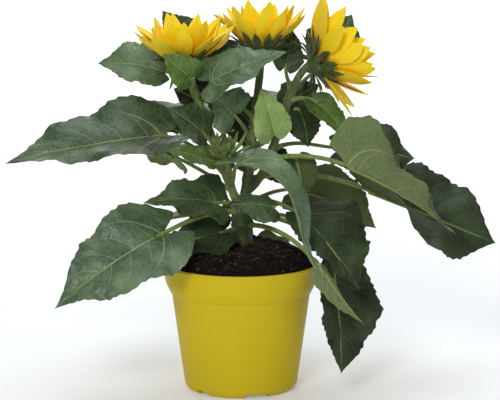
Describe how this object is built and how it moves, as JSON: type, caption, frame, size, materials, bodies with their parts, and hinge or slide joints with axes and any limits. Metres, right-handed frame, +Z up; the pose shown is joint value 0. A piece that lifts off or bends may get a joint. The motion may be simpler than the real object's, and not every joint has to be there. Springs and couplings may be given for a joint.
{
  "type": "potted sunflower plant",
  "caption": "Dwarf sunflower plant with open yellow blooms and broad toothed leaves, growing in a round yellow plastic nursery pot filled with dark soil.",
  "frame": {"origin": "centre of the pot's flat underside", "axes": "+Z up, +X to the right of the plant's front view, -Y towards the front"},
  "size_m": [0.4038, 0.2446, 0.3235],
  "materials": {
    "pot": "satin",
    "soil": "rough",
    "stem": "matt, finely hairy",
    "leaf": "waxy top side, matt underside",
    "young_leaf": "matt",
    "petal": "silky",
    "calyx": "matt, finely hairy",
    "disc": "rough"
  },
  "bodies": {
    "root": {"pot": "pot", "soil": "soil", "stem_main": "stem", "stem_left": "stem", "stem_middle": "stem", "stem_right": "stem", "stem_bud": "stem", "leaf_left_high": "leaf", "leaf_left_rear": "leaf", "leaf_left_low": "leaf", "leaf_left_small": "leaf", "leaf_on_soil": "leaf", "leaf_right_hanging": "leaf", "leaf_right_folded": "leaf", "leaf_front_glossy": "leaf", "leaf_right_dark": "leaf", "leaf_right_high": "leaf", "leaf_right_far": "leaf", "leaf_right_under": "leaf", "leaf_right_inner": "leaf", "leaf_top_pale": "leaf", "leaf_top_curled": "leaf", "leaf_middle_blue": "leaf", "leaf_left_glossy": "leaf", "leaf_left_level": "leaf", "leaf_young": "young_leaf", "leaf_round": "leaf", "leaf_front_small": "leaf", "leaf_bloom_left": "leaf", "leaf_bloom_right": "leaf", "leaf_top_right": "leaf", "leaf_top_dark": "leaf", "leaf_top_grey": "leaf", "leaf_bloom_rear": "leaf", "leaf_right_top": "leaf", "leaf_left_dark": "leaf", "leaf_left_notched": "leaf", "leaf_centre_dark": "leaf", "leaf_centre_low": "leaf", "leaf_back_middle": "leaf", "leaf_back_high_right": "leaf", "leaf_back_high_left": "leaf", "leaf_back_low": "leaf", "leaf_back_low_left": "leaf", "leaf_left_under": "leaf", "leaf_right_back": "leaf", "leaf_right_rear": "leaf", "leaf_left_back": "leaf", "calyx_left": "calyx", "petals_left": "petal", "disc_left": "disc", "calyx_middle": "calyx", "petals_middle": "petal", "disc_middle": "disc", "calyx_right": "calyx", "petals_right": "petal", "disc_right": "disc", "bud": "young_leaf"}
  },
  "joints": []
}
